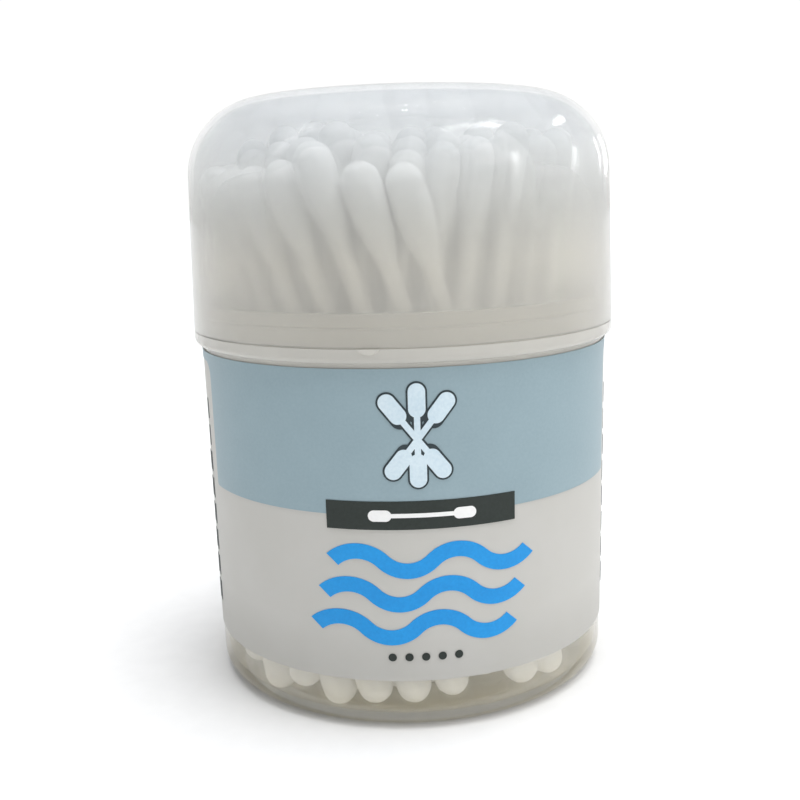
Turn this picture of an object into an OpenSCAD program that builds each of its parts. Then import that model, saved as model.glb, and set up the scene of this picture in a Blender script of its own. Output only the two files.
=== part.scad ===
// Round tub of double-ended cotton swabs, with a domed lid that lifts off.
// The tub stands on the XY plane, its axis is Z, and its front faces -Y.

/* [Tub] */
// How far the wall lies inside the lid's edge at the floor, before the foot's rounding
foot_inset = 1.6; // [1.2:0.05:3]
// How far the wall lies inside the lid's edge at the shoulder
wall_inset = 1.15; // [0.9:0.05:2]
// Height of the shoulder, where the lid rests
shoulder_z = 51.8; // [40:0.1:58]
// Thickness of the wall
wall = 0.65; // [0.5:0.05:1.2]
// Thickness of the floor above its recess
floor_t = 0.8; // [0.5:0.1:1.5]
// Outer radius of the foot
foot_round = 2.9; // [2:0.1:5]
// Depth of the recess under the floor
recess_h = 0.6; // [0.2:0.1:1.2]
// Width of the ring that the tub stands on
stand_w = 3; // [1.5:0.5:6]
// Height of the shoulder's flange
flange_h = 2; // [1.2:0.1:3]
// Height of the neck above the shoulder
neck_h = 4.3; // [3:0.1:7]
// Thickness of the neck
neck_t = 0.85; // [0.6:0.05:1.2]
// How far the snap bead stands out of the neck
bead = 0.2; // [0.1:0.05:0.3]

/* [Lid] */
// Outer diameter of the lid at its lower edge, which the tub and the rounds of swabs follow
lid_d = 62; // [50:0.5:80]
// Room above the tallest swab
head_room = 4; // [3:0.5:10]
// Thickness of the lid
lid_t = 0.8; // [0.5:0.05:1.2]
// How far the lid's wall leans in, in mm for each mm of height
lid_taper = 0.022; // [0:0.002:0.05]
// Radius of the rounded corner
lid_round = 11; // [8:0.5:14]
// Radius of the slightly domed top
crown_r = 190; // [120:10:400]
// Gap between the neck and the lid
neck_gap = 0.35; // [0.3:0.05:0.6]

/* [Label] */
// Lower edge of the label above the floor
label_low = 7.2; // [5:0.1:12]
// Bare band between the label and the shoulder's flange
label_gap = 0.6; // [0.2:0.1:3]
// Thickness of the film
film_t = 0.1; // [0.05:0.01:0.2]
// Thickness of a field of print
ink_t = 0.06; // [0.03:0.01:0.1]
// Layer of air or glue under the film and under each field
film_gap = 0.02; // [0.01:0.01:0.05]
// How far the label's middle is turned to the right
label_turn = 3.5; // [0:0.5:20]
// Angle of the front field of blue
blue_angle = 139; // [90:1:170]
// Height of the front field of blue
blue_h = 19.1; // [12:0.1:24]
// Height of the blue strip that runs all round
strip_h = 1.3; // [0.5:0.1:3]

/* [Swabs] */
// Length of a swab
swab_l = 75; // [70:0.5:75]
// Widest diameter of a cotton bud
bud_d = 4.4; // [3.6:0.1:4.5]
// Length of a cotton bud
bud_l = 13; // [10:0.5:16]
// Diameter of a stick
stick_d = 2.3; // [1.8:0.1:2.5]
// Gap between buds of neighbouring rounds
bud_gap = 0.15; // [0.1:0.05:0.4]
// Distance between swabs along a round
side_pitch = 4.65; // [4.55:0.05:5.5]
// Distance between the swabs of the outer round, which lean most
lean_pitch = 5.35; // [5.2:0.05:6]
// Angle that the outer round takes up
outer_span = 260; // [120:1:260]
// How far swabs are pushed up out of the bundle, at most
slide_max = 4.2; // [0:0.2:4.6]
// Random seed of the heights
seed = 7; // [1:1:99]

/* [Hidden] */
$fn = 96;
// Sides of the large circles, of which only a short arc is used
fine = 1440;
eps = 0.01;

// Tub
floor_z = recess_h + floor_t;
foot_r = lid_d / 2 - foot_inset;
body_slope = (foot_inset - wall_inset) / shoulder_z;
total_h = floor_z + swab_l + slide_max + head_room + lid_t;
neck_r = lid_d / 2 - lid_t - neck_gap;
// The snap bead's height on the neck, as a share of the neck's
bead_share = 0.55;
bead_z = shoulder_z + bead_share * neck_h;
lug_rise = 0.9;
lug_round = 1.7;
lug_turn = -8;
lug_out = 0.4;

// Label: each skin lies a hair outside the one under it
label_high = shoulder_z - flange_h - label_gap;
blue_low = label_high - blue_h;
seam_angle = 1;
print_margin = 1;
print_angle = 90;
banner_angle = 48.6;
banner_h = 3.8;
mark_l = 14;
mark_bud_w = 1.5;
mark_stick_w = 0.55;
emblem_l = 13.5;
emblem_bud_w = 2.2;
emblem_stick_w = 0.8;
emblem_edge = 0.5;
emblem_fan = 38;
emblem_push = 0.5;
emblem_shift = [-0.4, 0.4];
wave_count = 3;
wave_arcs = 4;
wave_span = 6.5;
wave_w = 2.1;
wave_step = 4.6;
wave_slope = 45;
wave_gap = 0.7;
wave_shift = 1.2;
wave_rise = 1.6;
dot_count = 5;
dot_r = 0.55;
dot_step = 2.2;
dot_rise = 3.4;
// Side rules: heights in mm, widths and places round the label in degrees
rule_columns = [8, 6];
rule_h = 3;
rule_step = 4;
rule_rise = 4;
rule_angle = 0.8;
rule_column_step = 3;
rule_side = 7;

// Swabs
bud_r = bud_d / 2;
bud_belly = 4;
bud_curve_r = 67;
bud_tail = 2;
stick_end = 1.8;
wall_gap = 0.35;
// Room that the outer round's lean takes, as a share of its radius
lean_share = 0.0248;
slide_min = 0.05;
round_pitch = bud_d + bud_gap;
outer_round_r = body_inner_r(floor_z + bud_r) - wall_gap - bud_r;
inner_rounds_r = outer_round_r * (1 - lean_share);
rounds = 1 + floor(inner_rounds_r / round_pitch);
round_r = [for (k = [0:rounds - 1]) k == 0 ? outer_round_r : inner_rounds_r - k * round_pitch];
// Degrees between a swab's foot and its top, round by round
round_turn = [-46, 22, 6, -8, 10, -15];
// Azimuth of each round's first top, to the right of the front
round_start = [2, 3, 6, 9, 12, 15];
// The second round fans out where the outer one is open
fan_at = 66;
fan_out = 2.2;
fan_width = 69;

print_nodes = [
    "label_blue_field", "label_banner", "label_banner_mark", "label_waves",
    "label_emblem", "label_emblem_fill", "label_dots", "label_side_rules"
];

function body_r(z) = foot_r + body_slope * z;
function body_inner_r(z) = body_r(z) - wall;
// Radius where a bud's round nose meets its long curved side
function nose_r() =
    (2 * bud_curve_r * bud_r - bud_r * bud_r - bud_belly * bud_belly) / (2 * (bud_curve_r - bud_belly));
function spacing(k) = k == 0 ? 2 * asin(lean_pitch / 2 / round_r[0]) : 360 / count(k);
function count(k) =
    k == 0 ? floor(outer_span / spacing(k)) :
    round_r[k] < side_pitch / 2 ? 1 : floor(180 / asin(side_pitch / 2 / round_r[k]));
function fan(at) = fan_out * max(0, cos(min(abs(at - fan_at) * 180 / fan_width, 90)));
function on_circle(r, at) = [r * sin(at), -r * cos(at)];

// Foot and top of every swab's nose centres, before the swab is pushed up
function top_at(k, i) = round_start[k % len(round_start)] + (k == 0 ? -1 : 1) * i * spacing(k);
function foot_xy(k, i) = on_circle(round_r[k], top_at(k, i) - round_turn[k % len(round_turn)]);
function top_xy(k, i) = on_circle(round_r[k] + (k == 1 ? fan(top_at(k, i)) : 0), top_at(k, i));
function axis_of(k, i) =
    let (run = top_xy(k, i) - foot_xy(k, i), span = swab_l - 2 * nose_r())
    [run.x, run.y, sqrt(span * span - run * run)] / span;
function slides(k) = rands(slide_min, slide_max, count(k), seed + k);

// Outline of a wall with a slope, rounded at the foot: r is its radius at z = low
module footed_outline(r, low, high, slope, fillet) {
    lean = sqrt(1 + slope * slope);
    centre = [r + slope * fillet - fillet * lean, low + fillet];
    polygon([
        [0, low],
        [centre.x, low],
        centre + fillet / lean * [1, -slope],
        [r + slope * (high - low), high],
        [0, high]
    ]);
    translate(centre) circle(fillet);
}

module tub_outside() {
    footed_outline(foot_r, 0, shoulder_z, body_slope, foot_round);
    flange_r = lid_d / 2;
    translate([0, shoulder_z - flange_h / 2]) square([flange_r, flange_h / 2]);
    translate([0, shoulder_z - flange_h]) square([flange_r - flange_h / 2, flange_h]);
    translate([flange_r - flange_h / 2, shoulder_z - flange_h / 2]) intersection() {
        circle(flange_h / 2);
        translate([0, -flange_h]) square(flange_h);
    }
    translate([0, shoulder_z - eps]) square([neck_r, neck_h + eps]);
    translate([neck_r, bead_z]) circle(bead);
}

module tub_inside() {
    bore_z = shoulder_z - flange_h / 2;
    footed_outline(body_inner_r(floor_z), floor_z, bore_z, body_slope, foot_round - wall);
    translate([0, bore_z - eps]) square([neck_r - neck_t, shoulder_z + neck_h - bore_z + 2 * eps]);
}

module tub() {
    color("gainsboro", 0.5) {
        rotate_extrude() intersection() {
            difference() {
                tub_outside();
                tub_inside();
                translate([0, -eps]) square([foot_r - foot_round - stand_w, recess_h + eps]);
            }
            square([lid_d, total_h]);
        }
        lid_lug();
    }
}

// Small smile-shaped lug on the shoulder, under the lid's edge
module lid_lug() {
    rotate(lug_turn) translate([0, neck_t - neck_r, 0]) intersection() {
        translate([0, 0, shoulder_z + lug_rise]) rotate([90, 0, 0])
            cylinder(r = lug_round, h = lid_d / 2 + lug_out - (neck_r - neck_t));
        translate([-lid_d / 2, -lid_d, shoulder_z - 2 * lug_round]) cube([lid_d, lid_d, 2 * lug_round]);
    }
}

// Dome that lies inset inside the lid's outer face
module dome_outline(inset) {
    lean = sqrt(1 + lid_taper * lid_taper);
    crown_z = total_h - crown_r;
    side = lid_d / 2 + lid_taper * shoulder_z - lid_round * lean;
    reach = crown_r - lid_round;
    middle = lid_taper * side + crown_z;
    corner_z = (middle + sqrt(middle * middle - lean * lean * (side * side + crown_z * crown_z - reach * reach)))
        / (lean * lean);
    corner = [side - lid_taper * corner_z, corner_z];
    round_in = lid_round - inset;
    crown_edge = [0, crown_z] + (crown_r - inset) / reach * [corner.x, corner.y - crown_z];
    polygon([
        [0, shoulder_z],
        [lid_d / 2 - inset * lean, shoulder_z],
        corner + round_in / lean * [1, lid_taper],
        crown_edge,
        [0, crown_edge.y]
    ]);
    translate(corner) circle(round_in);
    intersection() {
        translate([0, crown_z]) circle(crown_r - inset, $fn = fine);
        translate([0, crown_edge.y - eps]) square([crown_edge.x, lid_round]);
    }
}

module lid() {
    color("white", 0.4) rotate_extrude() difference() {
        dome_outline(0);
        dome_outline(lid_t);
        translate([0, shoulder_z - eps]) square([lid_d / 2 - lid_t, 2 * eps]);
    }
}

// Place of item i of n, counted in steps from the middle
function from_middle(i, n) = i - (n - 1) / 2;

// Outer radius of the label's skin at height z: layer 0 is the film, 1 to 3 are fields of print
function skin_r(layer, z) = body_r(z) + film_gap + film_t + layer * (film_gap + ink_t);

// Thin sleeve of one layer between two heights
module skin(layer, low, high, angle, middle = 0) {
    t = layer == 0 ? film_t : ink_t;
    rotate(middle - 90 - angle / 2) rotate_extrude(angle = angle) polygon([
        [skin_r(layer, low) - t, low],
        [skin_r(layer, low), low],
        [skin_r(layer, high), high],
        [skin_r(layer, high) - t, high]
    ]);
}

// Prints a flat drawing on the front of a layer, x from the label's middle and y up
module printed(layer) {
    rotate(label_turn) intersection() {
        skin(layer, label_low + print_margin, label_high - strip_h, print_angle);
        rotate([90, 0, 0]) linear_extrude(lid_d) children();
    }
}

module label() {
    color("whitesmoke") rotate(180) skin(0, label_low, label_high, 360 - seam_angle);
}

// The blue runs all round as a strip and comes down over the front
module label_blue_field() {
    color("lightblue") difference() {
        rotate(180) skin(1, blue_low, label_high, 360 - seam_angle);
        rotate(label_turn) translate([0, 0, blue_low - eps]) linear_extrude(blue_h - strip_h) difference() {
            square(2 * lid_d, center = true);
            polygon([[0, 0], lid_d * [-tan(blue_angle / 2), -1], lid_d * [tan(blue_angle / 2), -1]]);
        }
    }
}

module label_banner() {
    color("darkslategray") skin(2, blue_low - banner_h / 2, blue_low + banner_h / 2, banner_angle, label_turn);
}

module bar(length, width) {
    translate([-length / 2, -width / 2]) square([length, width]);
}

module pill(length, width) {
    bar(length - width, width);
    for (side = [-1, 1]) translate([side * (length - width) / 2, 0]) circle(width / 2);
}

// Drawing of a swab that lies along X
module swab_sign(length, bud_w, stick_w) {
    bud_long = 2 * bud_w;
    bar(length - bud_long, stick_w);
    for (side = [-1, 1]) translate([side * (length - bud_long) / 2, 0]) pill(bud_long, bud_w);
}

module label_banner_mark() {
    color("white") printed(3) translate([0, blue_low]) swab_sign(mark_l, mark_bud_w, mark_stick_w);
}

// One stroke of a flowing line, which bends up and down in turn
module wave_arc(i) {
    arc_r = wave_span / 2 / sin(wave_slope);
    reach = 2 * arc_r;
    half = tan(wave_slope - wave_gap);
    up = i % 2 == 0 ? 1 : -1;
    translate([from_middle(i, wave_arcs) * wave_span, -up * arc_r * cos(wave_slope)]) intersection() {
        difference() {
            circle(arc_r + wave_w / 2);
            circle(arc_r - wave_w / 2);
        }
        polygon([[0, 0], up * reach * [-half, 1], up * reach * [half, 1]]);
    }
}

module label_waves() {
    middle_z = (label_low + blue_low - banner_h / 2) / 2 + wave_rise;
    color("dodgerblue") for (i = [0:wave_count - 1], arc = [0:wave_arcs - 1]) printed(1)
        translate([0, middle_z] + from_middle(i, wave_count) * [wave_shift, wave_step]) wave_arc(arc);
}

// Three swabs that cross, fanned out upwards
module emblem(grow) {
    translate([0, (blue_low + label_high) / 2] + emblem_shift) for (i = [-1, 0, 1])
        rotate(90 - emblem_fan * i) translate([emblem_push, 0])
            swab_sign(emblem_l + grow, emblem_bud_w + grow, emblem_stick_w + grow);
}

module label_emblem() {
    color("slategray") printed(2) emblem(emblem_edge);
}

module label_emblem_fill() {
    color("aliceblue") printed(3) emblem(0);
}

module label_dots() {
    color("dimgray") printed(1) for (i = [0:dot_count - 1])
        translate([from_middle(i, dot_count) * dot_step, label_low + dot_rise]) circle(dot_r);
}

// Columns of short upright dashes on the plain panels beside the blue
module label_side_rules() {
    color("gray") for (side = [-1, 1], column = [0:len(rule_columns) - 1], i = [1:rule_columns[column]]) {
        low = label_low + rule_rise + (i - 1) * rule_step;
        place = blue_angle / 2 + rule_side + column * rule_column_step;
        skin(1, low, low + rule_h, rule_angle, label_turn + side * place);
    }
}

// Half outline of a cotton bud whose nose touches the origin, wound round the end of a stick
module bud_outline() {
    nose = nose_r();
    difference() {
        union() {
            intersection() {
                translate([0, nose]) circle(nose);
                square([bud_d, 2 * nose]);
            }
            intersection() {
                translate([bud_r - bud_curve_r, bud_belly]) circle(bud_curve_r, $fn = fine);
                translate([0, nose]) square([bud_d, bud_l - bud_tail - nose]);
            }
            polygon([
                [0, bud_l - bud_tail - eps],
                [bud_tail_r(), bud_l - bud_tail - eps],
                [(stick_d / 2 + bud_tail_r()) / 2, bud_l],
                [0, bud_l]
            ]);
        }
        translate([0, stick_end]) square([stick_d / 2, bud_l]);
    }
}

function bud_tail_r() =
    sqrt(pow(bud_curve_r, 2) - pow(bud_l - bud_tail - bud_belly, 2)) + bud_r - bud_curve_r;

// Sets its children, drawn along Z from a foot at the origin, in place of each swab of round k
module each_swab(k) {
    slide = slides(k);
    for (i = [0:count(k) - 1]) {
        axis = axis_of(k, i);
        nose = foot_xy(k, i);
        translate([nose.x, nose.y, floor_z + nose_r()] + slide[i] * axis)
            rotate([0, acos(axis.z), atan2(axis.y, axis.x)]) translate([0, 0, -nose_r()]) children();
    }
}

module sticks(k) {
    color("ivory") each_swab(k) translate([0, 0, stick_end])
        cylinder(d = stick_d, h = swab_l - 2 * stick_end);
}

module foot_buds(k) {
    color("white") each_swab(k) rotate_extrude() bud_outline();
}

module top_buds(k) {
    color("white") each_swab(k) translate([0, 0, swab_l]) mirror([0, 0, 1]) rotate_extrude() bud_outline();
}

tub();
lid();
label();
label_blue_field();
label_banner();
label_banner_mark();
label_waves();
label_emblem();
label_emblem_fill();
label_dots();
label_side_rules();
for (k = [1:rounds]) {
    sticks(k - 1);
    top_buds(k - 1);
    foot_buds(k - 1);
}
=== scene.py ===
"""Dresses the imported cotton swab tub: milky plastics, printed film, wound cotton, light and camera."""

import math

import bpy
import numpy as np
from mathutils import Matrix, Vector, noise


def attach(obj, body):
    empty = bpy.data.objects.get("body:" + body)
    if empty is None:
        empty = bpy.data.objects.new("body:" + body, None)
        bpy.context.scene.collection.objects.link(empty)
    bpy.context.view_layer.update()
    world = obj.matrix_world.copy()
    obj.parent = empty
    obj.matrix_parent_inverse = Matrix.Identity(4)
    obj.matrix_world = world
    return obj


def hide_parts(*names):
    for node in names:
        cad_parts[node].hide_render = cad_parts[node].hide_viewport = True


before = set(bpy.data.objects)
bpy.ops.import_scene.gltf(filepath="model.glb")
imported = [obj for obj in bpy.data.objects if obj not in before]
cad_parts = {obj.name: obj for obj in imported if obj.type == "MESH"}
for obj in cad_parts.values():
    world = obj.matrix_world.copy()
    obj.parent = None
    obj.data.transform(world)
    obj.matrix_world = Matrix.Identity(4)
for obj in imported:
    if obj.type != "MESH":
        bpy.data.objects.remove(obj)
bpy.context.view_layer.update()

MM = 0.001

# Tub and lid: sizes in mm as in the CAD, the lug's turn in degrees
FOOT_R = 29.4
BODY_TOP_R = 29.85
SHOULDER_Z = 51.8
WALL = 0.65
FLOOR_T = 0.8
FOOT_ROUND = 2.9
RECESS_H = 0.6
RECESS_R = 23.5
FLANGE_H = 2.0
NECK_R = 29.85
NECK_H = 4.3
NECK_T = 0.85
BEAD = 0.2
BEAD_Z = 54.165
LID_R = 31.0
LID_T = 0.8
LID_TAPER = 0.022
LID_ROUND = 11.0
CROWN_R = 190.0
TOTAL_H = 85.4
LUG_Z = 52.7
LUG_R = 1.7
LUG_TURN = -8
LUG_OUT = 0.4
LUG_ROOT = 0.5
EDGE = 0.15
RECESS_EDGE = 0.1
BORE_STEP = 0.2

# Label: sizes in mm, angles in degrees and counts
LABEL_LOW = 7.2
LABEL_HIGH = 49.2
FILM_T = 0.1
INK_T = 0.06
FILM_GAP = 0.02
LABEL_TURN = 3.5
SEAM_ANGLE = 1
HALF_ROUND = 180 - SEAM_ANGLE / 2
BLUE_ANGLE = 139
BLUE_LOW = 30.1
STRIP_H = 1.3
PANEL_ROUND = 2.2
BLUE_CORNER = 0.7
WAVES = 3
WAVE_ARCS = 4
WAVE_SPAN = 6.5
WAVE_W = 2.1
WAVE_STEP = 4.6
WAVE_SLOPE = 45
WAVE_SHIFT = 1.2
WAVES_Z = 19.3

# Swabs: sizes in mm
SWAB_L = 75
STICK_D = 2.3
STICK_END = 1.8
STICK_DENT = 0.03
BUD_R = 2.36
BUD_L = 13
BUD_BELLY = 3.6
NOSE_R = 2.15
TAIL_R = 1.32
TAIL_IN = 0.05
TAPER_POWER = 1.7

# Lumps of the cotton and dents of the sticks: rates per mm, heights in mm
LUMPS = ((0.55, 0.16), (1.5, 0.07))
DENT_RATE = 0.1
NOISE_REACH = 50

# Windings of the cotton, in radians per mm, and their height in mm
WIND_TURN = 2.4
WIND_H = 0.03

# Where the lumps fade out at a bud's ends, in mm, and the share that is left at its tail
NOSE_FADE = 1.2
TAIL_FADE = 1.5
TAIL_LUMPS = 0.15

# Factors of a bud's thickness, and shares by which it is out of round and fuller in the middle
BULK = (0.96, 1.05)
SQUASH = 0.05
OUTER_FLUFF = 0.12
INNER_FLUFF = 0.02

# Rounds of swabs, and where their random draws start
ROUNDS = 6
SEED = 100

# Fineness of the meshes
SIDES = 240
WALL_POINTS = 13
CORNER_STEPS = 24
CROWN_STEPS = 14
FOOT_STEPS = 14
BEAD_STEPS = 8
LUG_STEPS = 16
STROKE_STEPS = 16
TOP_RINGS = 38
TOP_SIDES = 36
FOOT_RINGS = 24
FOOT_SIDES = 24
STICK_RINGS = 14
STICK_SIDES = 20
FIRST_RING = 0.03
RING_POWER = 1.25

# Studio, in mm
AIM_Z = 45
FLOOR_HALF = 3000


def arc(centre, radius, start, end, steps):
    """Points on an arc, with its angles in degrees from the +r side."""
    angles = np.radians(np.linspace(start, end, steps + 1))
    return [(centre[0] + radius * math.cos(a), centre[1] + radius * math.sin(a)) for a in angles]


def mesh_object(name, points, faces, smooth_below=40):
    """A mesh from points in mm, smooth but for edges sharper than an angle in degrees."""
    mesh = bpy.data.meshes.new(name)
    mesh.from_pydata([Vector(p) * MM for p in points], [], faces)
    mesh.update()
    mesh.shade_smooth()
    mesh.set_sharp_from_angle(angle=math.radians(smooth_below))
    made = bpy.data.objects.new(name, mesh)
    bpy.context.scene.collection.objects.link(made)
    return made


def lathe(outline):
    """Points and faces of a closed outline of (r, z) turned about Z, where r = 0 is on the axis."""
    points = []
    rings = []
    for r, z in outline:
        if r == 0:
            rings.append([len(points)] * SIDES)
            points.append((0, 0, z))
            continue
        rings.append(list(range(len(points), len(points) + SIDES)))
        points += [(r * math.sin(a), -r * math.cos(a), z) for a in np.arange(SIDES) * 2 * math.pi / SIDES]
    faces = []
    for i, ring in enumerate(rings):
        above = rings[(i + 1) % len(rings)]
        if ring[0] == ring[1] and above[0] == above[1]:
            continue
        for j in range(SIDES):
            k = (j + 1) % SIDES
            corners = [ring[j], ring[k], above[k], above[j]]
            faces.append(list(dict.fromkeys(corners)))
    return points, faces


def ring_faces(low, high, count):
    """Faces that join two rings of count points, whose first points are low and high."""
    return [[low + j, low + (j + 1) % count, high + (j + 1) % count, high + j] for j in range(count)]


def dress(piece, made, slot, body, *nodes):
    """Gives a piece its material and body, and hides the CAD nodes that it stands for; slot is not used."""
    piece.data.materials.clear()
    piece.data.materials.append(made)
    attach(piece, body)
    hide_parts(*nodes)
    return piece


# Materials


def shader(name):
    """A new material: itself, its node tree and its Principled shader."""
    made = bpy.data.materials.new(name)
    made.use_nodes = True
    return made, made.node_tree, made.node_tree.nodes["Principled BSDF"]


def settle(tree, node, values):
    """Sets a node's inputs to values, or links them to other nodes' outputs."""
    for key, value in values.items():
        if isinstance(value, bpy.types.NodeSocket):
            tree.links.new(value, node.inputs[key])
        else:
            node.inputs[key].default_value = value


def add(tree, kind, inputs=None, **settings):
    """A new node with its inputs and settings."""
    made = tree.nodes.new(kind)
    for key, value in settings.items():
        setattr(made, key, value)
    settle(tree, made, inputs or {})
    return made


def place(tree, scale=(1, 1, 1), source="Object"):
    """Texture coordinates stretched by scale: 1 is a metre, or a whole UV tile."""
    coordinates = add(tree, "ShaderNodeTexCoord")
    stretched = add(tree, "ShaderNodeMapping", {"Vector": coordinates.outputs[source], "Scale": scale})
    return stretched.outputs["Vector"]


def grain(tree, vector, scale, detail=3):
    """Noise between 0 and 1."""
    made = add(tree, "ShaderNodeTexNoise", {"Vector": vector, "Scale": scale, "Detail": detail})
    return made.outputs["Fac"]


def tint(tree, factor, dark, light, low=0.3, high=0.7):
    """Colour that runs from dark to light as factor goes from low to high."""
    ramp = add(tree, "ShaderNodeValToRGB", {"Fac": factor})
    ramp.color_ramp.elements[0].position = low
    ramp.color_ramp.elements[1].position = high
    ramp.color_ramp.elements[0].color = (*dark, 1)
    ramp.color_ramp.elements[1].color = (*light, 1)
    return ramp.outputs["Color"]


def span(tree, factor, low, high):
    """A number that runs from low to high as factor goes from 0 to 1."""
    made = add(tree, "ShaderNodeMapRange", {"Value": factor, "To Min": low, "To Max": high})
    return made.outputs["Result"]


def bump(tree, height, distance, strength=1.0):
    """A normal from a height, whose full range is distance in mm."""
    made = add(tree, "ShaderNodeBump", {"Height": height, "Distance": distance * MM, "Strength": strength})
    return made.outputs["Normal"]


def average(tree, first, second):
    """The mean of two numbers."""
    both = add(tree, "ShaderNodeMath", {0: first, 1: second}, operation="ADD")
    half = add(tree, "ShaderNodeMath", {0: both.outputs[0], 1: 0.5}, operation="MULTIPLY")
    return half.outputs[0]


def mix(tree, factor, start, end, kind="FLOAT"):
    """A number, or with kind RGBA a colour, that runs from start to end as factor goes from 0 to 1."""
    made = add(tree, "ShaderNodeMix", {"Factor": factor, "A": start, "B": end}, data_type=kind)
    return made.outputs["Result"]


def by_height(tree, stops):
    """Grey that follows the height over the floor, from stops of (mm, value)."""
    height = add(tree, "ShaderNodeSeparateXYZ", {"Vector": place(tree)}).outputs["Z"]
    share = add(tree, "ShaderNodeMath", {0: height, 1: 1 / (TOTAL_H * MM)}, operation="MULTIPLY")
    ramp = add(tree, "ShaderNodeValToRGB", {"Fac": share.outputs[0]})
    points = ramp.color_ramp.elements
    while len(points) < len(stops):
        points.new(0.5)
    for point, (z, value) in zip(points, stops):
        point.position = z / TOTAL_H
        point.color = (value, value, value, 1)
    return ramp.outputs["Color"]


def lid_plastic():
    """Milky polypropylene: part clear, part blurred, part white haze, with a polished skin, and a painted sky
    reflection that turns it cooler and greyer towards the crown.
    """
    made, tree, surface = shader("milky lid plastic")
    flow = grain(tree, place(tree, (60, 60, 20)), 1.0, 2)
    ripple = grain(tree, place(tree), 420, 2)
    cover = by_height(tree, [(56, 0.96), (67, 0.9), (75, 0.45), (80, 0.28), (84, 0.43)])
    blurred = by_height(tree, [(56, 0.78), (67, 0.77), (71, 0.71), (75, 0.53)])
    # Painted sky reflection: from 62 mm up to 80 mm the plastic's colour turns from its own warm tone to a
    # cooler, greyer blue.
    painted_sky_tint = by_height(tree, [(62, 0.0), (80, 1.0)])
    warm_colour = tint(tree, flow, (0.955, 0.93, 0.86), (0.985, 0.965, 0.9))
    settle(tree, surface, {
        "Base Color": mix(tree, painted_sky_tint, warm_colour, (0.77, 0.81, 0.84, 1), "RGBA"),
        "Roughness": by_height(tree, [(58, 0.265), (67, 0.24), (78, 0.12)]),
        "IOR": 1.49,
        "Specular IOR Level": 0.35,
        "Alpha": cover,
        "Transmission Weight": blurred,
        "Coat Weight": 0.5,
        "Coat Roughness": 0.05,
        "Coat Normal": bump(tree, ripple, 0.06),
        "Normal": bump(tree, ripple, 0.03),
    })
    return made


def tub_plastic():
    """The tub's plastic, clearer than the lid's, and darker and yellower at its foot: partly the thick
    plastic's own tint, partly painted shade from the floor.
    """
    made, tree, surface = shader("clear tub plastic")
    flow = grain(tree, place(tree, (60, 60, 20)), 1.0, 2)
    ripple = grain(tree, place(tree), 350, 2)
    pale = tint(tree, flow, (0.82, 0.80, 0.74), (0.86, 0.84, 0.78))
    # Darker, yellower foot: partly the thick plastic's own tint, partly painted shade from the floor.
    above_foot = by_height(tree, [(3, 0.0), (12, 1.0)])
    settle(tree, surface, {
        "Base Color": mix(tree, above_foot, (0.74, 0.67, 0.48, 1), pale, "RGBA"),
        "Roughness": 0.15,
        "IOR": 1.49,
        "Alpha": by_height(tree, [(5, 0.3), (46, 0.8)]),
        "Transmission Weight": 0.4,
        "Normal": bump(tree, ripple, 0.02),
    })
    return made


def label_film():
    """Satin white film, thin enough for a little light to come through."""
    made, tree, surface = shader("white film")
    cloud = grain(tree, place(tree), 90, 3)
    wave = grain(tree, place(tree, (1, 1, 0.3)), 160, 2)
    settle(tree, surface, {
        "Base Color": tint(tree, cloud, (0.525, 0.515, 0.48), (0.553, 0.543, 0.513)),
        "Roughness": span(tree, cloud, 0.38, 0.5),
        "Alpha": by_height(tree, [(8, 0.82), (15, 0.95)]),
        "Normal": bump(tree, wave, 0.03),
    })
    return made


def print_ink(name, dark, light):
    """A field of print: dense ink with the press's faint mottle."""
    made, tree, surface = shader(name)
    cloud = grain(tree, place(tree), 140, 3)
    dots = grain(tree, place(tree), 2600, 2)
    mottle = average(tree, cloud, dots)
    wave = grain(tree, place(tree, (1, 1, 0.3)), 160, 2)
    settle(tree, surface, {
        "Base Color": tint(tree, mottle, dark, light, 0.35, 0.65),
        "Roughness": span(tree, cloud, 0.36, 0.48),
        "Specular IOR Level": 0.3,
        "Normal": bump(tree, wave, 0.03),
    })
    return made


def cotton():
    """Wound cotton: matt and soft, with fibres that run round the bud."""
    made, tree, surface = shader("wound cotton")
    fibres = grain(tree, place(tree, (3, 26, 1), "UV"), 6, 5)
    tufts = grain(tree, place(tree), 900, 3)
    wool = average(tree, fibres, tufts)
    settle(tree, surface, {
        "Base Color": tint(tree, wool, (0.92, 0.92, 0.91), (0.97, 0.97, 0.965)),
        "Roughness": 0.95,
        "Sheen Weight": 0.35,
        "Sheen Roughness": 0.6,
        "Normal": bump(tree, wool, 0.12, 0.7),
    })
    return made


def stick_paper():
    """Rolled white paper with a faint helical seam."""
    made, tree, surface = shader("rolled paper")
    seam = add(tree, "ShaderNodeTexWave", {"Vector": place(tree, (1, 6, 1), "UV"), "Scale": 1.0})
    seam.bands_direction = "DIAGONAL"
    pulp = grain(tree, place(tree), 2500, 3)
    settle(tree, surface, {
        "Base Color": tint(tree, pulp, (0.94, 0.935, 0.92), (0.97, 0.965, 0.95)),
        "Roughness": 0.7,
        "Normal": bump(tree, seam.outputs["Fac"], 0.02, 0.4),
    })
    return made


def floor_paper():
    """Pale studio paper."""
    made, tree, surface = shader("studio floor")
    speck = grain(tree, place(tree), 300, 3)
    settle(tree, surface, {
        "Base Color": tint(tree, speck, (0.75, 0.75, 0.75), (0.77, 0.77, 0.77)),
        "Roughness": 0.85,
    })
    return made


# Tub and lid


def corner_centre(lean, crown_z):
    """Centre (r, z) of the rounding that touches the lid's leaning wall and its crown from inside."""
    side = LID_R + LID_TAPER * SHOULDER_Z - LID_ROUND * lean
    reach = CROWN_R - LID_ROUND
    middle = LID_TAPER * side + crown_z
    root = middle * middle - lean * lean * (side * side + crown_z * crown_z - reach * reach)
    z = (middle + math.sqrt(root)) / (lean * lean)
    return side - LID_TAPER * z, z


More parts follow.
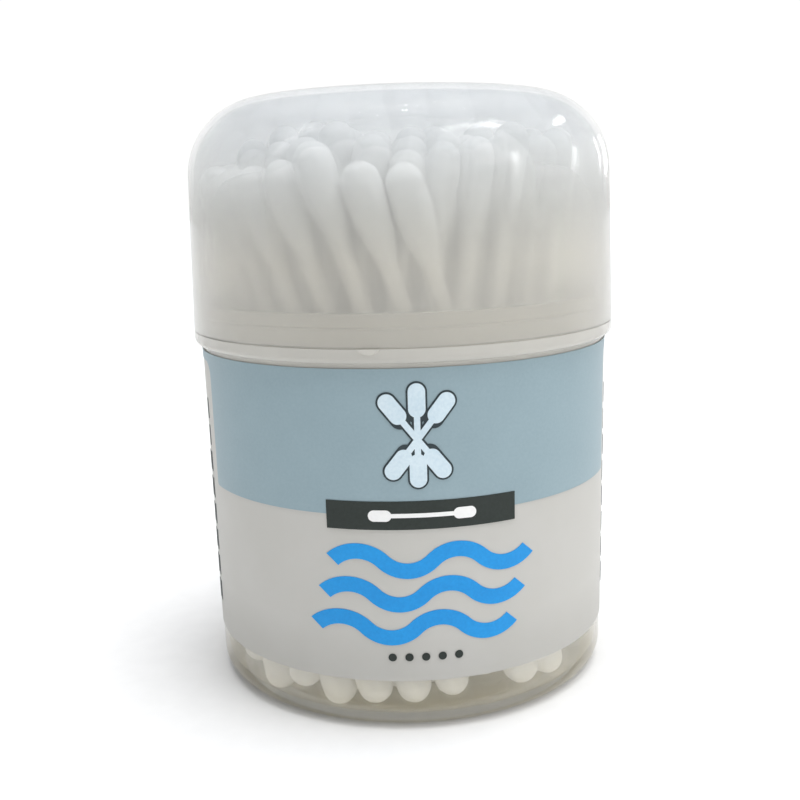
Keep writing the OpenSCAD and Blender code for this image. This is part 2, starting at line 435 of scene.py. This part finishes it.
def dome(inset):
    """Half outline of the dome that lies inset inside the lid's outer face, from its edge up to the axis."""
    lean = math.hypot(1, LID_TAPER)
    crown_z = TOTAL_H - CROWN_R
    centre = corner_centre(lean, crown_z)
    low_angle = math.degrees(math.atan(LID_TAPER))
    high_angle = math.degrees(math.atan2(centre[1] - crown_z, centre[0]))
    corner = arc(centre, LID_ROUND - inset, low_angle, high_angle, CORNER_STEPS)
    foot_r = LID_R - inset * lean
    top_r, top_z = corner[0]
    wall = [(foot_r + (top_r - foot_r) * t, SHOULDER_Z + (top_z - SHOULDER_Z) * t)
            for t in np.linspace(0, 1, WALL_POINTS)]
    crown = arc((0, crown_z), CROWN_R - inset, high_angle, 90, CROWN_STEPS)
    crown[-1] = (0, crown[-1][1])
    return wall + corner[1:] + crown[1:]


def lid(made):
    """The lid: a closed shell, with a slightly rounded lower edge."""
    outer = dome(0)
    inner = dome(LID_T)
    outer[0] = (outer[0][0], SHOULDER_Z + EDGE)
    inner[0] = (inner[0][0], SHOULDER_Z + EDGE)
    foot = [(inner[0][0] + EDGE, SHOULDER_Z), (outer[0][0] - EDGE, SHOULDER_Z)]
    points, faces = lathe(foot + outer + inner[::-1])
    return dress(mesh_object("milky_lid", points, faces), made, "lid_plastic", "lid", "lid")


def body_r(z):
    """Outer radius of the tub's wall at a height."""
    return FOOT_R + (BODY_TOP_R - FOOT_R) * z / SHOULDER_Z


def lug():
    """Points and faces of the smile-shaped lug under the lid's edge, with its outer edge rounded."""
    half = math.degrees(math.acos((LUG_Z - SHOULDER_Z) / LUG_R))
    turn = math.radians(LUG_TURN)
    points = []
    for out, inset in ((LID_R - LUG_ROOT, 0), (LID_R + LUG_OUT - EDGE, 0), (LID_R + LUG_OUT, EDGE)):
        for x, z in arc((0, LUG_Z), LUG_R - inset, -90 - half, -90 + half, LUG_STEPS):
            points.append((x * math.cos(turn) + out * math.sin(turn),
                           x * math.sin(turn) - out * math.cos(turn), z))
    row = LUG_STEPS + 1
    faces = [list(range(row))[::-1], list(range(2 * row, 3 * row))]
    for low in (0, row):
        faces += ring_faces(low, low + row, row)
    return points, faces


def tub(made):
    """The tub: foot, wall, flange and neck in one shell, with the small lug that lifts the lid's edge."""
    slope = math.degrees(math.atan((BODY_TOP_R - FOOT_R) / SHOULDER_Z))
    foot_out = (FOOT_R - FOOT_ROUND, FOOT_ROUND)
    foot_in = (foot_out[0], FOOT_ROUND - WALL + RECESS_H + FLOOR_T)
    floor_z = RECESS_H + FLOOR_T
    half = FLANGE_H / 2
    neck_top = SHOULDER_Z + NECK_H
    bore_r = NECK_R - NECK_T
    outline = [
        (0, RECESS_H), (RECESS_R - RECESS_EDGE, RECESS_H), (RECESS_R, RECESS_H - RECESS_EDGE),
        (RECESS_R, RECESS_EDGE), (RECESS_R + RECESS_EDGE, 0),
        *arc(foot_out, FOOT_ROUND, -90, -slope, FOOT_STEPS),
        (body_r(SHOULDER_Z - FLANGE_H), SHOULDER_Z - FLANGE_H),
        (LID_R - half, SHOULDER_Z - FLANGE_H),
        *arc((LID_R - half, SHOULDER_Z - half), half, -90, 0, BEAD_STEPS)[1:],
        (LID_R, SHOULDER_Z),
        (NECK_R, SHOULDER_Z),
        *arc((NECK_R, BEAD_Z), BEAD, -90, 90, BEAD_STEPS),
        (NECK_R, neck_top - EDGE), (NECK_R - EDGE, neck_top),
        (bore_r + EDGE, neck_top), (bore_r, neck_top - EDGE),
        (bore_r, SHOULDER_Z - half),
        (body_r(SHOULDER_Z - half) - WALL, SHOULDER_Z - half - BORE_STEP),
        *arc(foot_in, FOOT_ROUND - WALL, -slope, -90, FOOT_STEPS),
        (0, floor_z),
    ]
    points, faces = lathe(outline)
    lug_points, lug_faces = lug()
    faces += [[len(points) + i for i in face] for face in lug_faces]
    return dress(mesh_object("clear_tub", points + lug_points, faces), made, "tub_plastic", "tub", "tub")


# Label


def skin_r(layer, z):
    """Outer radius of the label's skin at a height: layer 0 is the film, layer 1 the print on it."""
    return body_r(z) + FILM_GAP + FILM_T + layer * (FILM_GAP + INK_T)


def skin_section(layer, low, high):
    """The four corners of a skin's section, from its low and its high edge as (angle in radians, z)."""
    thick = FILM_T if layer == 0 else INK_T
    corners = []
    for (a, z), out in ((low, 0), (low, 1), (high, 1), (high, 0)):
        r = skin_r(layer, z) - (0 if out else thick)
        corners.append((r * math.sin(a), -r * math.cos(a), z))
    return corners


def strip_faces(steps, start=0):
    """Faces that join steps + 1 sections of four corners into one closed strip."""
    last = start + 4 * steps
    faces = [[start + 3, start + 2, start + 1, start]]
    for low in range(start, last, 4):
        faces += ring_faces(low, low + 4, 4)
    faces.append([last, last + 1, last + 2, last + 3])
    return faces


def band(layer, heights_of, start, end, steps):
    """Points and faces of a thin closed skin between two angles, whose edges' heights vary with the angle."""
    points = []
    for angle in np.linspace(start, end, steps + 1):
        low, high = heights_of(angle)
        a = math.radians(angle)
        points += skin_section(layer, (a, low), (a, high))
    return points, strip_faces(steps)


def film(made):
    """The white film round the tub, open at its seam."""
    points, faces = band(0, lambda angle: (LABEL_LOW, LABEL_HIGH), -HALF_ROUND, HALF_ROUND, 2 * SIDES)
    return dress(mesh_object("white_film", points, faces), made, "label_film", "tub", "label")


def blue_heights(angle):
    """Low and high edge of the blue: a strip all round that comes down over the front in rounded corners."""
    side = abs((angle - LABEL_TURN + 180) % 360 - 180)
    beyond = math.radians(side - BLUE_ANGLE / 2) * BODY_TOP_R
    strip_low = LABEL_HIGH - STRIP_H
    if beyond >= PANEL_ROUND:
        return strip_low, LABEL_HIGH
    if beyond > 0:
        rise = PANEL_ROUND - beyond
        return strip_low - PANEL_ROUND + math.sqrt(PANEL_ROUND ** 2 - rise ** 2), LABEL_HIGH
    inside = min(-beyond, BLUE_CORNER)
    drop = BLUE_CORNER - math.sqrt(BLUE_CORNER ** 2 - (BLUE_CORNER - inside) ** 2)
    return BLUE_LOW + drop, LABEL_HIGH


def blue_field(made):
    """The blue print, in steps fine enough for its rounded corners."""
    points, faces = band(1, blue_heights, -HALF_ROUND, HALF_ROUND, 8 * SIDES)
    return dress(mesh_object("blue_print", points, faces), made, "blue_print", "tub", "label_blue_field")


def wave_sides(middle_x, middle_z):
    """Upper and lower side of one flowing stroke of arcs that bend up and down in turn, as (x, z)."""
    radius = WAVE_SPAN / 2 / math.sin(math.radians(WAVE_SLOPE))
    rise = radius * math.cos(math.radians(WAVE_SLOPE))
    upper = []
    lower = []
    for i in range(WAVE_ARCS):
        up = 1 if i % 2 == 0 else -1
        centre = (middle_x + (i - (WAVE_ARCS - 1) / 2) * WAVE_SPAN, middle_z - up * rise)
        ends = (up * (90 + WAVE_SLOPE), up * (90 - WAVE_SLOPE))
        shared = 1 if i > 0 else 0
        upper += arc(centre, radius + up * WAVE_W / 2, *ends, STROKE_STEPS)[shared:]
        lower += arc(centre, radius - up * WAVE_W / 2, *ends, STROKE_STEPS)[shared:]
    return upper, lower


def on_label(x, z):
    """Angle and height of a point of a drawing on the label's front, x to the right of the label's middle."""
    return math.radians(LABEL_TURN) + math.asin(x / skin_r(1, z)), z


def waves(made):
    """The bright blue waves, each one unbroken stroke."""
    points = []
    faces = []
    for i in range(WAVES):
        step = i - (WAVES - 1) / 2
        upper, lower = wave_sides(step * WAVE_SHIFT, WAVES_Z + step * WAVE_STEP)
        faces += strip_faces(len(upper) - 1, len(points))
        for high, low in zip(upper, lower):
            points += skin_section(1, on_label(*low), on_label(*high))
    return dress(mesh_object("wave_print", points, faces), made, "bright_blue_print", "tub", "label_waves")


def keep_prints(inks):
    """Gives the CAD's own fields of print their inks."""
    for name, made in inks.items():
        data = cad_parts[name].data
        data.materials.clear()
        data.materials.append(made)


# Swabs


def solids(mesh):
    """The vertex positions of each separate solid of a CAD mesh, in mm."""
    places = np.array([v.co for v in mesh.vertices]) / MM
    unique, index = np.unique(places.round(4), axis=0, return_inverse=True)
    ends = index.reshape(-1)[np.array([e.vertices for e in mesh.edges])]
    group = np.arange(len(unique))
    while True:
        low = np.minimum(group[ends[:, 0]], group[ends[:, 1]])
        merged = group.copy()
        np.minimum.at(merged, ends[:, 0], low)
        np.minimum.at(merged, ends[:, 1], low)
        merged = merged[merged]
        if (merged == group).all():
            return [unique[group == g] for g in np.unique(group)]
        group = merged


def stick_line(places):
    """Lowest and highest point of a stick's axis."""
    middle = places.mean(0)
    axis = np.linalg.svd(places - middle, full_matrices=False)[2][0]
    along = (places - middle) @ axis
    near = 0.01
    ends = [places[along < along.min() + near].mean(0), places[along > along.max() - near].mean(0)]
    return sorted(ends, key=lambda p: p[2])


def swab_frames():
    """For each round, a matrix per swab that sets a drawing along +Z with its foot at the origin."""
    rounds = []
    for k in range(1, ROUNDS + 1):
        frames = []
        for places in solids(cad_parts[f"sticks_round_{k}"].data):
            low, high = stick_line(places)
            axis = Vector(high - low).normalized()
            foot = Vector(low) - axis * STICK_END
            frames.append(Matrix.Translation(foot) @ axis.to_track_quat("Z", "Y").to_matrix().to_4x4())
        frames.sort(key=lambda m: math.atan2(m.translation.x, -m.translation.y))
        rounds.append(frames)
    return rounds


def noise_place(rng):
    """A random place in the noise, so that each drawing has lumps of its own."""
    return Vector(rng.uniform(-NOISE_REACH, NOISE_REACH, 3))


def bud_radius(t):
    """Radius of a bud t mm from its tip: round nose, full belly, long taper, neat tail."""
    nose = math.sqrt(NOSE_R ** 2 - (NOSE_R - t) ** 2) if t < NOSE_R else NOSE_R
    if t < BUD_BELLY:
        blend = t / BUD_BELLY
        return nose + (BUD_R - NOSE_R) * blend * blend * (3 - 2 * blend)
    beyond = (t - BUD_BELLY) / (BUD_L - BUD_BELLY)
    return BUD_R + (TAIL_R - BUD_R) * beyond ** TAPER_POWER


def bud(rng, rings, sides, fluff):
    """Points, faces and UVs of a wound bud, tip at the origin, tail along +Z, fuller by the share fluff."""
    bulk = rng.uniform(*BULK)
    twist = rng.uniform(0, 2 * math.pi)
    seed = noise_place(rng)
    squash = rng.uniform(-SQUASH, SQUASH)
    points = [(0, 0, 0)]
    uvs = [(0.5, 0)]
    for t in BUD_L * np.linspace(FIRST_RING, 1, rings) ** RING_POWER:
        even_r = bud_radius(t) * bulk * (1 + fluff * math.sin(math.pi * min(1, t / BUD_L)))
        fade = min(1, t / NOSE_FADE, (BUD_L - t) / TAIL_FADE + TAIL_LUMPS)
        for j in range(sides):
            a = 2 * math.pi * j / sides
            at = Vector((even_r * math.cos(a), even_r * math.sin(a), t))
            lumps = sum(noise.noise(at * rate + seed) * height for rate, height in LUMPS)
            wind = math.sin(a + twist + t * WIND_TURN) * WIND_H
            r = (even_r + (lumps + wind) * fade) * (1 + squash * math.cos(2 * a + twist))
            points.append((r * math.cos(a), r * math.sin(a), t))
            uvs.append((j / sides, t / BUD_L))
    tail = len(points)
    points += [(STICK_D / 2 * math.cos(a), STICK_D / 2 * math.sin(a), BUD_L - TAIL_IN)
               for a in np.arange(sides) * 2 * math.pi / sides]
    uvs += [(j / sides, 1) for j in range(sides)]
    faces = [[0, 1 + (j + 1) % sides, 1 + j] for j in range(sides)]
    for low in range(1, tail, sides):
        faces += ring_faces(low, low + sides, sides)
    return points, faces, uvs


def stick(rng):
    """Points, faces and UVs of a stick from end to end, a hair out of round."""
    points = []
    uvs = []
    seed = noise_place(rng)
    for i in range(STICK_RINGS + 1):
        z = STICK_END + (SWAB_L - 2 * STICK_END) * i / STICK_RINGS
        for j in range(STICK_SIDES):
            a = 2 * math.pi * j / STICK_SIDES
            dent = abs(noise.noise(Vector((math.cos(a), math.sin(a), z * DENT_RATE)) + seed))
            r = STICK_D / 2 - STICK_DENT * dent
            points.append((r * math.cos(a), r * math.sin(a), z))
            uvs.append((j / STICK_SIDES, i / STICK_RINGS))
    last = len(points) - STICK_SIDES
    faces = [list(range(STICK_SIDES))[::-1]]
    for low in range(0, last, STICK_SIDES):
        faces += ring_faces(low, low + STICK_SIDES, STICK_SIDES)
    faces.append(list(range(last, len(points))))
    return points, faces, uvs


def joined(name, parts):
    """One object of several parts, each (matrix, points, faces, uvs)."""
    points = []
    faces = []
    uvs = []
    for matrix, own_points, own_faces, own_uvs in parts:
        start = len(points)
        points += [matrix @ Vector(p) for p in own_points]
        faces += [[start + i for i in face] for face in own_faces]
        uvs += own_uvs
    made = mesh_object(name, points, faces, smooth_below=75)
    layer = made.data.uv_layers.new(name="wrap")
    corners = np.empty(len(made.data.loops), int)
    made.data.loops.foreach_get("vertex_index", corners)
    layer.data.foreach_set("uv", np.array(uvs)[corners].reshape(-1))
    return made


def swabs(wool, paper):
    """Every round's sticks, top buds and foot buds."""
    turn_over = Matrix.Translation((0, 0, SWAB_L)) @ Matrix.Rotation(math.pi, 4, "X")
    for k, frames in enumerate(swab_frames(), 1):
        rng = np.random.default_rng(SEED + k)
        fluff = OUTER_FLUFF if k == 1 else INNER_FLUFF
        tops = joined(f"wound_tops_{k}",
                      [(m @ turn_over, *bud(rng, TOP_RINGS, TOP_SIDES, fluff)) for m in frames])
        feet = joined(f"wound_feet_{k}", [(m, *bud(rng, FOOT_RINGS, FOOT_SIDES, 0)) for m in frames])
        rods = joined(f"paper_sticks_{k}", [(m, *stick(rng)) for m in frames])
        dress(tops, wool, "cotton", "tub", f"top_buds_round_{k}")
        dress(feet, wool, "cotton", "tub", f"foot_buds_round_{k}")
        dress(rods, paper, "stick", "tub", f"sticks_round_{k}")


# Studio


def turned(first, second, angle):
    """Two directions square to each other, the first turned towards the second by an angle in radians."""
    cos = math.cos(angle)
    sin = math.sin(angle)
    return first * cos + second * sin, second * cos - first * sin


def camera():
    """The photograph's camera: its place, its turn and its focal length."""
    distance = 163.0
    target_z = 45.97
    elevation = math.radians(8.85)
    yaw = math.radians(-0.27)
    pitch = math.radians(-2.3)
    roll = math.radians(1.67)
    right = Vector((1, 0, 0))
    ahead = Vector((0, math.cos(elevation), -math.sin(elevation)))
    up = right.cross(ahead)
    ahead, right = turned(ahead, right, yaw)
    ahead, up = turned(ahead, up, pitch)
    up, right = turned(up, right, roll)
    data = bpy.data.cameras.new("camera")
    data.sensor_width = 36
    data.lens = 48.08
    data.clip_start = 0.01
    made = bpy.data.objects.new("camera", data)
    turn = Matrix((right, up, -ahead)).transposed().to_4x4()
    eye = Vector((0, -distance * math.cos(elevation), target_z + distance * math.sin(elevation))) * MM
    made.matrix_world = Matrix.Translation(eye) @ turn
    bpy.context.scene.collection.objects.link(made)
    bpy.context.scene.camera = made


def softbox(name, place_at, size, watts, colour=(1, 1, 1)):
    """An area light at a place in mm that faces the tub's middle."""
    data = bpy.data.lights.new(name, "AREA")
    data.shape = "RECTANGLE"
    data.size = size[0] * MM
    data.size_y = size[1] * MM
    data.energy = watts
    data.color = colour
    made = bpy.data.objects.new(name, data)
    where = Vector(place_at) * MM
    aim = Vector((0, 0, AIM_Z * MM)) - where
    made.matrix_world = Matrix.Translation(where) @ aim.to_track_quat("-Z", "Y").to_matrix().to_4x4()
    made.visible_camera = False
    bpy.context.scene.collection.objects.link(made)


def sun(strength, spread, way):
    """Broad even light from a direction, as wide as spread in degrees."""
    data = bpy.data.lights.new("ceiling light", "SUN")
    data.energy = strength
    data.angle = math.radians(spread)
    made = bpy.data.objects.new("ceiling light", data)
    made.matrix_world = (-Vector(way)).to_track_quat("-Z", "Y").to_matrix().to_4x4()
    made.visible_glossy = False
    made.visible_transmission = False
    bpy.context.scene.collection.objects.link(made)


def sky():
    """Bright all round at the horizon, dimmer overhead and in front, where the photographer's room is."""
    world = bpy.data.worlds.new("sky")
    bpy.context.scene.world = world
    world.use_nodes = True
    tree = world.node_tree
    way = add(tree, "ShaderNodeSeparateXYZ", {"Vector": add(tree, "ShaderNodeTexCoord").outputs["Generated"]})
    height = add(tree, "ShaderNodeMath", {0: way.outputs["Z"]}, operation="ABSOLUTE")
    glow = tint(tree, height.outputs[0], (0.96, 0.96, 0.95), (0.33, 0.35, 0.38), 0.17, 0.45)
    behind = add(tree, "ShaderNodeMapRange", {"Value": way.outputs["Y"], "From Min": -0.6, "From Max": 0.2,
                                              "To Min": 0.66, "To Max": 0.72})
    climb = add(tree, "ShaderNodeMapRange", {"Value": height.outputs[0], "From Max": 0.3},
                interpolation_type="SMOOTHSTEP")
    at_horizon = 0.8
    lit = mix(tree, climb.outputs["Result"], at_horizon, behind.outputs["Result"])
    seen = add(tree, "ShaderNodeLightPath").outputs["Is Camera Ray"]
    to_camera = 1.08
    settle(tree, tree.nodes["Background"], {"Color": glow, "Strength": mix(tree, seen, lit, to_camera)})


def studio():
    """Pale floor, soft sky, a broad ceiling light and softboxes."""
    sky()
    sun(4.0, 50, (0.12, 0.0, 1))
    softbox("right softbox", (330, -260, 260), (240, 300), 0.3, (1, 0.99, 0.97))
    softbox("left strip", (-300, -120, 330), (60, 260), 0.07)
    softbox("ceiling strip", (200, -150, 384), (220, 28), 0.16)
    softbox("ceiling lamp", (18, -5, 480), (24, 10), 0.007)
    softbox("window behind", (300, 180, 300), (60, 24), 0.04)
    softbox("low window", (233, 330, 116), (30, 70), 0.05)
    points = [(x * FLOOR_HALF, y * FLOOR_HALF, 0) for x, y in ((-1, -1), (1, -1), (1, 1), (-1, 1))]
    floor = mesh_object("studio_floor", points, [[0, 1, 2, 3]])
    floor.data.materials.append(floor_paper())
    bpy.context.scene.view_settings.view_transform = "Standard"


def main():
    """Sets the camera and the studio, and builds each part in its material."""
    camera()
    studio()
    lid(lid_plastic())
    tub(tub_plastic())
    film(label_film())
    blue_field(print_ink("soft blue ink", (0.267, 0.36, 0.40), (0.29, 0.387, 0.427)))
    waves(print_ink("bright blue ink", (0.008, 0.26, 0.66), (0.012, 0.31, 0.74)))
    dark = print_ink("dark ink", (0.017, 0.024, 0.02), (0.024, 0.032, 0.028))
    slate = print_ink("slate ink", (0.022, 0.034, 0.04), (0.034, 0.05, 0.056))
    keep_prints({
        "label_banner": dark,
        "label_banner_mark": print_ink("white ink", (0.84, 0.84, 0.83), (0.88, 0.88, 0.87)),
        "label_emblem": slate,
        "label_emblem_fill": print_ink("pale ink", (0.55, 0.68, 0.76), (0.66, 0.77, 0.83)),
        "label_dots": dark,
        "label_side_rules": slate,
    })
    swabs(cotton(), stick_paper())


main()
